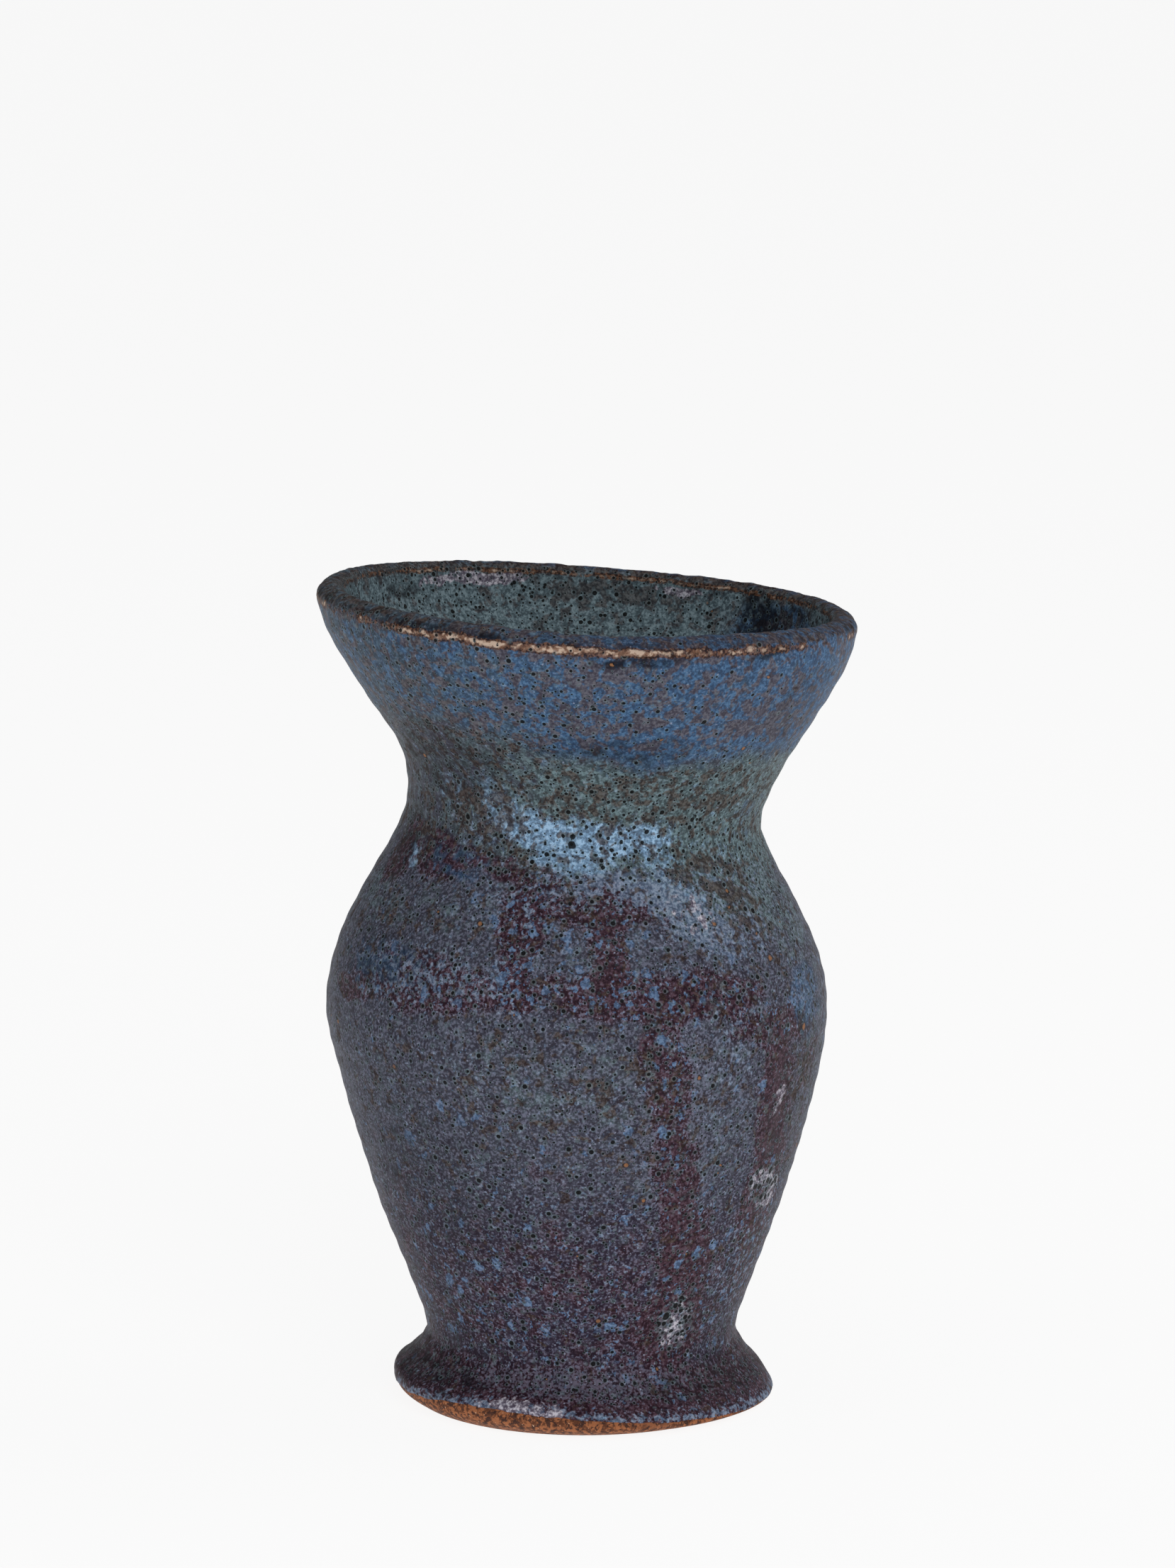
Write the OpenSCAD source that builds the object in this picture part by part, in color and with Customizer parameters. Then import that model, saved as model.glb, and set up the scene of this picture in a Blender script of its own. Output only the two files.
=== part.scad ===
// Wheel-thrown stoneware vase: a splayed foot, a full belly, a pinched neck and a flared collar.
// The fired clay is a body and a collar, joined at the neck. It carries its glazes as separate coats,
// which meet it and each other face to face.
// Every horizontal section is a circle that is a little out of level, as it came off the wheel.
// Lean is how far a section drops towards +X, in degrees, and drift is how far its middle stands
// from the axis along X.

/* [Foot] */
// Diameter of the flat ring that the vase stands on
contact_d = 63; // [60:0.5:67]
// Diameter of the foot's splayed edge
foot_d = 70; // [68:0.5:74]
// Height of the splayed edge
foot_edge_z = 3.3; // [3:0.1:4.5]
// Lean of the splayed edge
foot_lean = 3.2; // [0:0.1:4]
// Drift of the whole foot
foot_drift = -0.7; // [-2:0.1:1]
// Inner diameter of the foot ring, where the shallow recess begins
recess_d = 50; // [40:1:56]
// Depth of the recess under the floor
recess_depth = 1.5; // [0.5:0.1:2.5]

/* [Body] */
// Diameter of the waist above the foot
waist_d = 57.5; // [54:0.5:60]
// Height of the waist
waist_z = 14; // [12:0.5:16]
// Lean of the waist
waist_lean = 0.6; // [0:0.1:2]
// Drift of the waist
waist_drift = -1.1; // [-2:0.1:1]
// Diameter of the belly at its fullest
belly_d = 92; // [84:0.5:98]
// Height of the belly at its fullest
belly_z = 72.5; // [68:0.5:76]
// Lean of the belly
belly_lean = 1.6; // [0:0.1:4]
// Drift of the belly
belly_drift = -1.9; // [-3:0.1:1]
// Diameter of the shoulder, halfway in to the neck
shoulder_d = 79; // [74:0.5:84]
// Height of the shoulder
shoulder_z = 94; // [91:0.5:97]
// Lean of the shoulder
shoulder_lean = 3.4; // [0:0.1:4]
// Drift of the shoulder
shoulder_drift = -0.9; // [-2:0.1:1]

/* [Neck and collar] */
// Diameter of the neck at its narrowest
neck_d = 64.5; // [60:0.5:68]
// Height of the neck at its narrowest
neck_z = 110; // [108:0.5:112]
// Lean of the neck
neck_lean = 3.9; // [0:0.1:4.5]
// Drift of the neck
neck_drift = -0.6; // [-2:0.1:1]
// Diameter of the collar where it starts to flare
collar_d = 69; // [66:0.5:72]
// Height where the collar starts to flare
collar_z = 119; // [117:0.5:121]
// Drift of the collar where it starts to flare
collar_drift = 0.6; // [-1:0.1:1.5]
// Diameter of the lip's outer edge
lip_d = 98; // [92:0.5:104]
// Height of the lip's outer edge
lip_z = 146; // [142:0.5:150]
// Lean of the lip towards +X
lip_lean = 3.6; // [0:0.1:4.5]
// Drift of the lip
lip_drift = 0; // [-1:0.1:1]
// Width of the lip, from its outer edge to its inner edge
lip_w = 4.4; // [3.5:0.1:5.5]
// Height of the lip's rounded crest above its outer edge
crest_h = 2.5; // [1.5:0.1:3.5]

/* [Walls] */
// Thickness of the wall at the bottom of the hollow
low_wall = 6.5; // [5:0.1:8]
// Thickness of the wall from the belly upwards
high_wall = 4.6; // [4:0.1:5.5]
// Height of the hollow's floor
floor_z = 8.5; // [7:0.5:10]

/* [Glaze] */
// Thickness of a single coat on the outside
coat_t = 0.7; // [0.4:0.05:0.9]
// Thickness where the two outer coats lie over each other at the shoulder
overlap_t = 1.2; // [0.9:0.05:1.5]
// Thickness of the liner coat inside
liner_t = 0.6; // [0.4:0.05:0.9]
// How far the thick runs and the spill on the foot stand proud
run_t = 0.5; // [0.3:0.05:0.8]

/* [Hidden] */

// Points round each section
sides = 40;
// Sections made for each control section, which places them evenly along the spline
steps = 2;
// Sides of the recess under the foot
RECESS_SIDES = 96;
// How far the tool that cuts the recess starts below the foot
RECESS_START = 1;
// Width and height of the foot's rounded top, in from the splayed edge and above it
FOOT_TOP_W = 2.2;
FOOT_TOP_H = 2.7;
// How much more level the foot's top is than its edge
FOOT_TOP_LEVEL = 1.3;
// How far the lip's crest stands in from its outer edge, as a share of the lip's width
CREST_IN = 0.42;
// Height of the lip's inner edge above its outer edge, as a share of the crest's height
LIP_INSIDE_UP = 0.7;
// Radius of each section of the hollow's floor, as a share of the hollow's radius at the waist, and
// its height, as a share of the way from the floor's middle up to the waist
FLOOR = [[0.80, 0.27], [0.50, 0.05], [0.20, 0]];

// A control section is [radius, height, lean, drift]. This one lies part of the way from p to q:
// out says how far in radius, and up how far in height, lean and drift.
function mix(a, b, part) = a + (b - a) * part;
function between(p, q, out, up) =
    [mix(p[0], q[0], out), mix(p[1], q[1], up), mix(p[2], q[2], up), mix(p[3], q[3], up)];

contact = [contact_d / 2, 0, 0, foot_drift];
foot_edge = [foot_d / 2, foot_edge_z, foot_lean, foot_drift];
bevel = between(contact, foot_edge, 0.85, 0.45);
foot_top = [foot_d / 2 - FOOT_TOP_W, foot_edge_z + FOOT_TOP_H, foot_lean - FOOT_TOP_LEVEL, foot_drift];
waist = [waist_d / 2, waist_z, waist_lean, waist_drift];
belly = [belly_d / 2, belly_z, belly_lean, belly_drift];
shoulder = [shoulder_d / 2, shoulder_z, shoulder_lean, shoulder_drift];
neck = [neck_d / 2, neck_z, neck_lean, neck_drift];
collar = [collar_d / 2, collar_z, neck_lean, collar_drift];
lip_edge = [lip_d / 2, lip_z, lip_lean, lip_drift];
crest = [lip_d / 2 - lip_w * CREST_IN, lip_z + crest_h, lip_lean, lip_drift];
lip_inside = [lip_d / 2 - lip_w, lip_z + crest_h * LIP_INSIDE_UP, lip_lean, lip_drift];

// The finished outside from the standing ring to the lip's inner edge. The wall swells from the
// waist to the belly, steeply at first, and turns in sharply under the collar.
outside = [
    contact,
    bevel,
    foot_edge,
    foot_top,
    between(foot_top, waist, 0.75, 0.45),
    waist,
    between(waist, belly, 0.20, 0.17),
    between(waist, belly, 0.48, 0.39),
    between(waist, belly, 0.71, 0.61),
    between(waist, belly, 0.88, 0.80),
    belly,
    between(belly, shoulder, 0.26, 0.50),
    shoulder,
    between(shoulder, neck, 0.68, 0.56),
    neck,
    collar,
    between(collar, lip_edge, 0.43, 0.37),
    between(collar, lip_edge, 0.85, 0.74),
    lip_edge,
    crest,
    lip_inside
];

// Places along the outside, counted in control sections
AT_SPILL = 0.5;
AT_FOOT_GLAZE = 1.5;
AT_FOOT_EDGE = 2;
AT_WAIST = 5;
AT_BELLY = 10;
AT_OVERLAP = 11;
AT_OVERLAP_FULL = 12;
AT_OVERLAP_END = 13;
AT_NECK = 14;
AT_COLLAR_TOP = 17;
AT_LIP_EDGE = 18;
AT_CREST = 19;
AT_LIP_INSIDE = 20;
AT_NECK_INSIDE = AT_LIP_INSIDE + 1 + AT_COLLAR_TOP - AT_NECK;

// Each thick run: the place where it ends below, and the sides of the circle that it lies between
RUNS = [[AT_BELLY, 26, 31], [AT_BELLY, 32, 37], [AT_BELLY + 0.5, 20, 23]];
// The sides of the circle that the spill lies between
SPILL = [25, 30];

// Direction of the outside at control section i, as a unit vector [out, up]
function unit(v) = v / norm(v);
function along(rings, i) =
    let (a = rings[max(i - 1, 0)], b = rings[min(i + 1, len(rings) - 1)])
    unit([b[0] - a[0], b[1] - a[1]]);
// A section moved square to the surface by t, into the wall
function sunk(rings, i, t) =
    let (way = along(rings, i))
    [rings[i][0] - way[1] * t, rings[i][1] + way[0] * t, rings[i][2], rings[i][3]];

// The finished inside from just below the lip's inner edge down to the middle of the floor
function wall_at(i) = lookup(i, [[AT_WAIST, low_wall], [AT_BELLY, high_wall], [AT_LIP_EDGE, high_wall]]);
hollow_foot = sunk(outside, AT_WAIST, low_wall);
inside = concat(
    [for (i = [AT_COLLAR_TOP:-1:AT_WAIST]) sunk(outside, i, wall_at(i))],
    [for (f = FLOOR) [hollow_foot[0] * f[0], mix(floor_z, waist_z, f[1]), waist_lean * f[1], foot_drift]]
);

// Catmull-Rom spline through the control sections, from the standing ring over the lip to the floor
control = concat(outside, inside);
function held(list, i) =
    i < 0 ? 2 * list[0] - list[1] :
    i >= len(list) ? 2 * list[len(list) - 1] - list[len(list) - 2] :
    list[i];
function spline(list, i, t) =
    let (a = held(list, i - 1), b = held(list, i), c = held(list, i + 1), d = held(list, i + 2))
    0.5 * (2 * b + (c - a) * t + (2 * a - 5 * b + 4 * c - d) * t * t + (3 * b - a - 3 * c + d) * t * t * t);
finished = [
    for (i = [0:len(control) - 2]) for (k = [0:steps - 1]) spline(control, i, k / steps),
    control[len(control) - 1]
];
LAST = len(finished) - 1;

// Glaze thickness at a place along the surface. It thins to nothing where it breaks over the two
// edges of the lip and where it stops above the bare foot.
function coats(place) = lookup(place, [
    [AT_FOOT_GLAZE, 0],
    [AT_FOOT_EDGE + 1, coat_t],
    [AT_BELLY, coat_t],
    [AT_OVERLAP_FULL, overlap_t],
    [AT_NECK, coat_t],
    [AT_COLLAR_TOP, coat_t],
    [AT_LIP_EDGE, 0],
    [AT_CREST, coat_t],
    [AT_LIP_INSIDE, 0],
    [AT_LIP_INSIDE + 1, liner_t]
]);
// Share of that thickness which is the lower coat: it thins out under the upper one
function lower_share(place) = lookup(place, [[AT_OVERLAP, 1], [AT_OVERLAP_END, 0]]);

clay_skin = [for (k = [0:LAST]) sunk(finished, k, coats(k / steps))];
lower_skin = [
    for (k = [0:LAST]) sunk(finished, k, coats(k / steps) * (1 - lower_share(k / steps)))
];

// The sections of a coat between two places: out along its upper face and back along its lower
// face. Both faces share the section at each end, where the coat has thinned to nothing.
function coat(face, back, from, to) = concat(
    [for (k = [from * steps:to * steps]) face[k]],
    [for (k = [to * steps - 1:-1:from * steps + 1]) back[k]]
);

// Points of a section, which stays a true circle seen from above
function point(ring, angle) =
    let (x = ring[0] * cos(angle), y = ring[0] * sin(angle))
    [ring[3] + x, y, ring[1] - tan(ring[2]) * x];
function round_points(ring) = [for (j = [0:sides - 1]) point(ring, 360 * j / sides)];

// Two triangles for each cell of a grid of points, between rows i and i2 and columns j and j2
function cell(i, i2, j, j2, row) = [
    [i * row + j, i2 * row + j, i2 * row + j2],
    [i * row + j, i2 * row + j2, i * row + j2]
];

// A skin through round sections. A looped one joins its last section to its first, and an open
// one is closed by a flat cap at each end.
module loft(rings, looped) {
    count = len(rings);
    wall = [
        for (i = [0:count - (looped ? 1 : 2)]) for (j = [0:sides - 1])
            each cell(i, (i + 1) % count, j, (j + 1) % sides, sides)
    ];
    caps = looped ? [] : [
        [for (j = [0:sides - 1]) j],
        [for (j = [sides - 1:-1:0]) (count - 1) * sides + j]
    ];
    polyhedron([for (ring = rings) each round_points(ring)], concat(wall, caps));
}

// A thick patch on the finished surface, between two places and between two sides of the circle.
// Its rim lies on the surface and the rest stands proud by run_t.
module patch(from, to, side_from, side_to) {
    rows = (to - from) * steps + 1;
    columns = side_to - side_from + 1;
    function on_rim(i, j) = i == 0 || j == 0 || i == rows - 1 || j == columns - 1;
    function at(i, j, t) =
        point(sunk(finished, from * steps + i, on_rim(i, j) ? 0 : -t), 360 * (side_from + j) / sides);
    top = [for (i = [0:rows - 1]) for (j = [0:columns - 1]) at(i, j, run_t)];
    base = [for (i = [0:rows - 1]) for (j = [0:columns - 1]) at(i, j, 0)];
    // A base point on the rim is the top point there
    function below(k) = on_rim(floor(k / columns), k % columns) ? k : k + rows * columns;
    // A triangle with all its corners on the rim would have no thickness
    function is_thick(face) = [for (k = face) below(k)] != [for (k = face) k];
    top_faces = [
        for (i = [0:rows - 2]) for (j = [0:columns - 2])
            for (face = cell(i, i + 1, j, j + 1, columns)) if (is_thick(face)) face
    ];
    base_faces = [for (face = top_faces) [below(face[2]), below(face[1]), below(face[0])]];
    polyhedron(concat(top, base), concat(top_faces, base_faces));
}

// Fired clay from the foot up to the joint at the neck, with a trimmed recess underneath
module clay_body() {
    wall = [for (k = [0:AT_NECK * steps]) clay_skin[k]];
    hollow = [for (k = [AT_NECK_INSIDE * steps:LAST]) clay_skin[k]];
    color("sienna")
        difference() {
            loft(concat(wall, hollow), false);
            translate([foot_drift, 0, -RECESS_START])
                cylinder(
                    h = RECESS_START + recess_depth,
                    d1 = recess_d + 2 * RECESS_START,
                    d2 = recess_d - 2 * recess_depth,
                    $fn = RECESS_SIDES
                );
        }
}

// Fired clay of the collar and the lip, which sits on the body at the neck
module clay_collar() {
    color("peru")
        loft([for (k = [AT_NECK * steps:AT_NECK_INSIDE * steps]) clay_skin[k]], true);
}

// Glaze poured inside, over the floor and the wall up to the lip's inner edge
module liner_glaze() {
    back = [for (k = [LAST:-1:AT_LIP_INSIDE * steps + 1]) clay_skin[k]];
    face = [for (k = [AT_LIP_INSIDE * steps:LAST]) finished[k]];
    color("darkslategray")
        loft(concat(back, face), false);
}

// First coat outside, from just above the bare foot to its thin edge under the upper coat
module lower_glaze() {
    color("slategray")
        loft(coat(lower_skin, clay_skin, AT_FOOT_GLAZE, AT_OVERLAP_END), true);
}

// Second coat outside, from its thin edge over the shoulder up to the lip's outer edge
module upper_glaze() {
    color("steelblue")
        loft(coat(finished, lower_skin, AT_OVERLAP, AT_LIP_EDGE), true);
}

// Glaze on the rounded top of the lip, between its two bare edges
module lip_glaze() {
    color("lightslategray")
        loft(coat(finished, clay_skin, AT_LIP_EDGE, AT_LIP_INSIDE), true);
}

// Thick runs of the upper coat over the shoulder
module glaze_runs() {
    color("lightskyblue")
        for (run = RUNS) patch(run[0], AT_OVERLAP_END, run[1], run[2]);
}

// Pale glaze that spilled over the bare edge of the foot
module foot_spill() {
    color("lightgray")
        patch(AT_SPILL, AT_FOOT_EDGE, SPILL[0], SPILL[1]);
}

clay_body();
clay_collar();
liner_glaze();
lower_glaze();
upper_glaze();
lip_glaze();
glaze_runs();
foot_spill();
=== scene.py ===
import math

import bpy
import numpy as np
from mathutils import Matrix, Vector


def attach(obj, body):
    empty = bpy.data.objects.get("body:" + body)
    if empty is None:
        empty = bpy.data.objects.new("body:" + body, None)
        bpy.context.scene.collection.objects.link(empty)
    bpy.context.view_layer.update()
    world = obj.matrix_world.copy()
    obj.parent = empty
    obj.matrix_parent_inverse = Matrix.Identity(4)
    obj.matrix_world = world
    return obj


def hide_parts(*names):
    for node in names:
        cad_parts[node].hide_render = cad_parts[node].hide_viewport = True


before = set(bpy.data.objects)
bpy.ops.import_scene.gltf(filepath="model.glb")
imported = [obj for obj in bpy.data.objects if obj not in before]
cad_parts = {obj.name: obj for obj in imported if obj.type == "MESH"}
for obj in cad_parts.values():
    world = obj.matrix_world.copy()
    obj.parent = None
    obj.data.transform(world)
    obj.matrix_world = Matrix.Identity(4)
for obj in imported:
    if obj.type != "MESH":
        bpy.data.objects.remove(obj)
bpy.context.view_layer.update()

# Stoneware vase. Lengths are in millimetres until a mesh is made, and Z is up. "turn" is the angle
# round the vase in degrees, 0 at the front (-Y) and 90 at the right (+X). "place" counts control
# sections along the surface: up the outside, over the lip and down the inside.
MM = 0.001


# --- The thrown shape -----------------------------------------------------------------------------
def mix(a, b, part):
    return a + (b - a) * part


def between(p, q, out, up):
    """A section between two others: out is the share of the way in radius, up in all the rest."""
    return [mix(p[0], q[0], out)] + [mix(p[k], q[k], up) for k in (1, 2, 3)]


# A control section is [radius, height, lean, drift]: lean is how many degrees it drops towards +X,
# and drift is how far its middle stands from the axis along X.
FOOT_DRIFT = -0.7
CONTACT = [31.5, 0, 0, FOOT_DRIFT]
FOOT_EDGE = [35, 3.3, 3.2, FOOT_DRIFT]
FOOT_TOP = [32.8, 6.0, 1.9, FOOT_DRIFT]
WAIST = [28.75, 14, 0.6, -1.1]
BELLY = [46, 72.5, 1.6, -1.9]
SHOULDER = [39.5, 94, 3.4, -0.9]
NECK = [32.25, 110, 3.9, -0.6]
COLLAR = [34.5, 119, 3.9, 0.6]
LIP_EDGE = [49, 146, 3.6, 0]
CREST = [47.152, 148.5, 3.6, 0]
LIP_INSIDE = [44.6, 147.75, 3.6, 0]
OUTSIDE = [
    CONTACT,
    between(CONTACT, FOOT_EDGE, 0.85, 0.45),
    FOOT_EDGE,
    FOOT_TOP,
    between(FOOT_TOP, WAIST, 0.75, 0.45),
    WAIST,
    between(WAIST, BELLY, 0.20, 0.17),
    between(WAIST, BELLY, 0.48, 0.39),
    between(WAIST, BELLY, 0.71, 0.61),
    between(WAIST, BELLY, 0.88, 0.80),
    BELLY,
    between(BELLY, SHOULDER, 0.26, 0.50),
    SHOULDER,
    between(SHOULDER, NECK, 0.68, 0.56),
    NECK,
    COLLAR,
    between(COLLAR, LIP_EDGE, 0.43, 0.37),
    between(COLLAR, LIP_EDGE, 0.85, 0.74),
    LIP_EDGE,
    CREST,
    LIP_INSIDE,
]
LOW_WALL, HIGH_WALL, FLOOR_Z = 6.5, 4.6, 8.5
AT_WAIST, AT_BELLY, AT_COLLAR_TOP, AT_LIP_EDGE, AT_LIP_INSIDE = 5, 10, 17, 18, 20


def sunk_section(i, depth):
    """Control section i moved square to the surface by depth, into the wall."""
    a, b = np.array(OUTSIDE[i - 1]), np.array(OUTSIDE[i + 1])
    way = (b - a)[:2] / np.linalg.norm((b - a)[:2])
    r, z, lean, drift = OUTSIDE[i]
    return [r - way[1] * depth, z + way[0] * depth, lean, drift]


def wall_at(i):
    return float(np.interp(i, [AT_WAIST, AT_BELLY], [LOW_WALL, HIGH_WALL]))


# Down the inside of the wall, then over the bowl of the floor
HOLLOW = sunk_section(AT_WAIST, LOW_WALL)[0]
INSIDE = [sunk_section(i, wall_at(i)) for i in range(AT_COLLAR_TOP, AT_WAIST - 1, -1)] + [
    [HOLLOW * out, mix(FLOOR_Z, WAIST[1], up), WAIST[2] * up, FOOT_DRIFT]
    for out, up in ((0.80, 0.27), (0.50, 0.05), (0.20, 0.0))
]
CONTROL = np.array(OUTSIDE + INSIDE, float)
HELD = np.vstack([2 * CONTROL[0] - CONTROL[1], CONTROL, 2 * CONTROL[-1] - CONTROL[-2]])
LAST = len(CONTROL) - 1


def sections(place):
    """Catmull-Rom spline through the control sections, at each place."""
    i = np.clip(np.floor(place).astype(int), 0, LAST - 1)
    t = (place - i)[..., None]
    a, b, c, d = HELD[i], HELD[i + 1], HELD[i + 2], HELD[i + 3]
    return 0.5 * (2 * b + (c - a) * t + (2 * a - 5 * b + 4 * c - d) * t**2 + (3 * b - a - 3 * c + d) * t**3)


def step(v, low, high):
    t = np.clip((v - low) / (high - low), 0, 1)
    return t * t * (3 - 2 * t)


def apart(turn, centre):
    """Degrees from centre to turn, the short way round."""
    return (turn - centre + 180) % 360 - 180


def bump_at(turn, centre, width):
    return np.exp(-((apart(turn, centre) / width) ** 2))


def bump_over(distance, centre, width):
    return np.exp(-(((distance - centre) / width) ** 2))


def lattice(ix, iy, iz, seed):
    """A repeatable number from 0 to 1 for each lattice point, by mixing its bits."""
    h = ix.astype(np.uint32) * np.uint32(374761393) + iy.astype(np.uint32) * np.uint32(668265263)
    h = h + iz.astype(np.uint32) * np.uint32(2246822519) + np.uint32(seed * 40503 + 977)
    h = (h ^ (h >> np.uint32(13))) * np.uint32(1274126177)
    h = (h ^ (h >> np.uint32(15))) * np.uint32(2654435761)
    return (h ^ (h >> np.uint32(16))).astype(np.float64) / 4294967296.0


def noise(points, size, seed, octaves=2):
    """Smooth noise from -1 to 1, with features about size across."""
    total, weight = 0.0, 0.0
    for o in range(octaves):
        q = points / (size * 0.5**o) + 4096.37
        base = np.floor(q)
        f = q - base
        f = f * f * (3 - 2 * f)
        x, y, z = (base[..., k].astype(np.int64) for k in range(3))
        value = 0.0
        for dx in (0, 1):
            for dy in (0, 1):
                for dz in (0, 1):
                    share = (f[..., 0] if dx else 1 - f[..., 0]) * (f[..., 1] if dy else 1 - f[..., 1])
                    share = share * (f[..., 2] if dz else 1 - f[..., 2])
                    value = value + share * lattice(x + dx, y + dy, z + dz, seed + 17 * o)
        total = total + (2 * value - 1) * 0.5**o
        weight += 0.5**o
    return total / weight


# --- One grid over the whole surface --------------------------------------------------------------
COLUMNS = 720
SPACING, LIP_SPACING, LINER_SPACING, WELL_SPACING = 0.45, 0.36, 0.55, 1.1
# A piece's back face has one vertex for this many of its front face, each way
COARSE = 4
turns = np.arange(COLUMNS) * 360.0 / COLUMNS - 180.0

# The glaze stops above the bare foot on an uneven line: ring height of that line at some turns
GLAZE_LINE = (
    (-180, 1.7), (-150, 2.3), (-120, 1.4), (-90, 1.7), (-55, 2.2), (-38, 3.2), (-18, 3.9),
    (-2, 3.8), (12, 3.3), (28, 3.0), (48, 2.7), (70, 2.2), (100, 1.8), (135, 2.0), (180, 1.7),
)


def arc_places(first, last, spacing):
    """Places from first to last about spacing apart along the surface, in a multiple of COARSE gaps."""
    fine = np.linspace(first, last, 2000)
    s = sections(fine)
    run = np.concatenate([[0], np.cumsum(np.hypot(np.diff(s[:, 0]), np.diff(s[:, 1])))])
    gaps = COARSE * max(1, int(round(run[-1] / spacing / COARSE)))
    return np.interp(np.linspace(0, run[-1], gaps + 1), run, fine)


# Bands of rows that the pieces are cut from: name, first place, last place and spacing
BANDS = (
    ("lower", 1.6, 11.5, SPACING), ("upper", 11.5, 17.5, SPACING), ("lip", 17.5, 20.5, LIP_SPACING),
    ("liner", 20.5, 26.5, LINER_SPACING), ("well", 26.5, LAST, WELL_SPACING),
)
band_rows, row_places = {}, []
for name, first, last, spacing in BANDS:
    places = arc_places(first, last, spacing)
    start = max(len(row_places) - 1, 0)
    row_places = row_places[:start] + list(places)
    band_rows[name] = (start, start + len(places))
row_places = np.array(row_places)


def ring_height_place(height):
    """The place on the foot's outside with that ring height."""
    fine = np.linspace(0, 3, 600)
    return np.interp(height, sections(fine)[:, 1], fine)


line_turns, line_heights = np.array(GLAZE_LINE, float).T
edge_height = np.interp(turns, line_turns, line_heights)
edge_angle = np.radians(turns)
edge_ring = FOOT_EDGE[0] * np.stack([np.sin(edge_angle), np.cos(edge_angle), 0 * turns], -1)
edge_height = edge_height + 0.38 * noise(edge_ring, 3.0, 5) + 0.16 * noise(edge_ring, 0.9, 6)
edge_place = ring_height_place(edge_height)
# The lowest rows follow the glaze's edge and the rows above settle onto their own places
SETTLE_ROWS = 48
settle = np.clip(1 - np.arange(len(row_places)) / SETTLE_ROWS, 0, 1) ** 2
place = row_places[:, None] + settle[:, None] * (edge_place - row_places[0])[None, :]
turn = np.broadcast_to(turns[None, :], place.shape)

# The lip's slow wave: rise, turn and width of each swell
LIP_WAVE = ((-0.35, -5, 24), (0.40, 44, 24), (0.25, -100, 30), (-0.75, 168, 46))


def surface(place, turn):
    """Points of the thrown shape, with the lip's slow wave."""
    r, z, lean, drift = np.moveaxis(sections(place), -1, 0)
    a = np.radians(turn)
    x, y = r * np.sin(a), -r * np.cos(a)
    wave = sum(rise * bump_at(turn, centre, width) for rise, centre, width in LIP_WAVE)
    near_lip = step(place, 15.5, 18) * (1 - step(place, 20.5, 24))
    return np.stack([drift + x, y, z - np.tan(np.radians(lean)) * x + wave * near_lip], -1)


def face_directions(points):
    across = np.roll(points, -1, 1) - np.roll(points, 1, 1)
    along = np.gradient(points, axis=0)
    n = np.cross(across, along)
    return n / np.linalg.norm(n, axis=-1, keepdims=True)


smooth = surface(place, turn)
outward = face_directions(smooth)
ring_height = sections(place)[..., 1]
radius = sections(place)[..., 0]
# The inside starts just past the lip's crest
inside = step(place, 19.3, 20.3)
outside = 1 - inside

# --- Relief: the throwing rings, the glaze's roll and runs, the lip -----------------------------------
RING_PITCH = 4.4
slow = noise(smooth, 16, 11)
rings = np.sin(ring_height * 2 * math.pi / RING_PITCH + 2.5 * slow)
relief = 0.16 * slow + 0.05 * rings * outside
relief = relief + 0.09 * noise(smooth, 3.2, 12) + 0.035 * noise(smooth, 1.2, 13)
# Distance up from the glaze's edge at the foot, where the glaze rolls over and is thickest
steps_up = np.linalg.norm(np.diff(smooth, axis=0), axis=-1)
climb = np.concatenate([[np.zeros(COLUMNS)], np.cumsum(steps_up, 0)])
ROLL = 0.8
rolled = np.sqrt(1 - (1 - np.clip(climb / ROLL, 0, 1)) ** 2)
relief = relief + (0.42 * rolled - 0.22) * np.exp(-climb / 3.5) * (climb < 30)
# The spill at the front of the foot is thicker
SPILL_TURN = -19
relief = relief + 0.25 * bump_at(turn, SPILL_TURN, 14) * bump_over(climb, 1.2, 1.5) * rolled
# What makes the edge of each patch uneven
warp_across, warp_up = 2.2 * noise(smooth, 7, 21, 3), 2.0 * noise(smooth, 6, 22, 3)
FIRM, LOOSE, RUN_SOFT = 0.45, 0.75, 0.6


def patch(centre_turn, height, half_width, half_height, slant=0.0, soft=FIRM):
    """1 inside an uneven oval on the surface and 0 outside it, over an edge that is soft wide."""
    across = np.radians(apart(turn, centre_turn)) * radius + warp_across - slant * (ring_height - height)
    d = np.hypot(across / half_width, (ring_height + warp_up - height) / half_height)
    return 1 - step(d, 1 - soft, 1 + soft)


# Thick runs of glaze: rise, then the turn, height, half width, half height and slant of the oval
RUNS = (
    (0.35, -14, 92, 15, 13), (0.35, 38, 90, 14, 14, -0.1), (0.35, -76, 88, 8, 10),
    (0.22, 24, 62, 4.4, 20, -0.2), (0.22, 32, 38, 4.6, 20, -0.2), (0.25, 52, 56, 4.0, 19, -0.15),
    (0.25, 116, 66, 4.5, 24), (0.25, 166, 58, 5, 28), (0.25, -124, 64, 4.5, 22),
)
for rise, *oval in RUNS:
    relief = relief + rise * patch(*oval, soft=RUN_SOFT) * outside
# The lip is uneven, with fine ridges from the potter's fingers
on_lip = step(place, 17.6, 18.1) * (1 - step(place, 20.2, 20.9))
ridge_ring = np.stack([smooth[..., 0] * 0.25, smooth[..., 1] * 0.25, place * 2.2], -1)
relief = relief + on_lip * (0.14 * noise(ridge_ring, 0.8, 31) + 0.16 * noise(smooth, 1.6, 32))
points = smooth + outward * relief[..., None]
shading = face_directions(points)

# --- Glaze fields -----------------------------------------------------------------------------------
# The dark field is also partly painted shade on the left side
# The white field is also painted highlights on the inside
# Each field says how much of one glaze effect there is, about 0 to 1, and the material breaks it up.
# First the zones, from the collar down to the foot
zone_height = ring_height + warp_up
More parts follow.
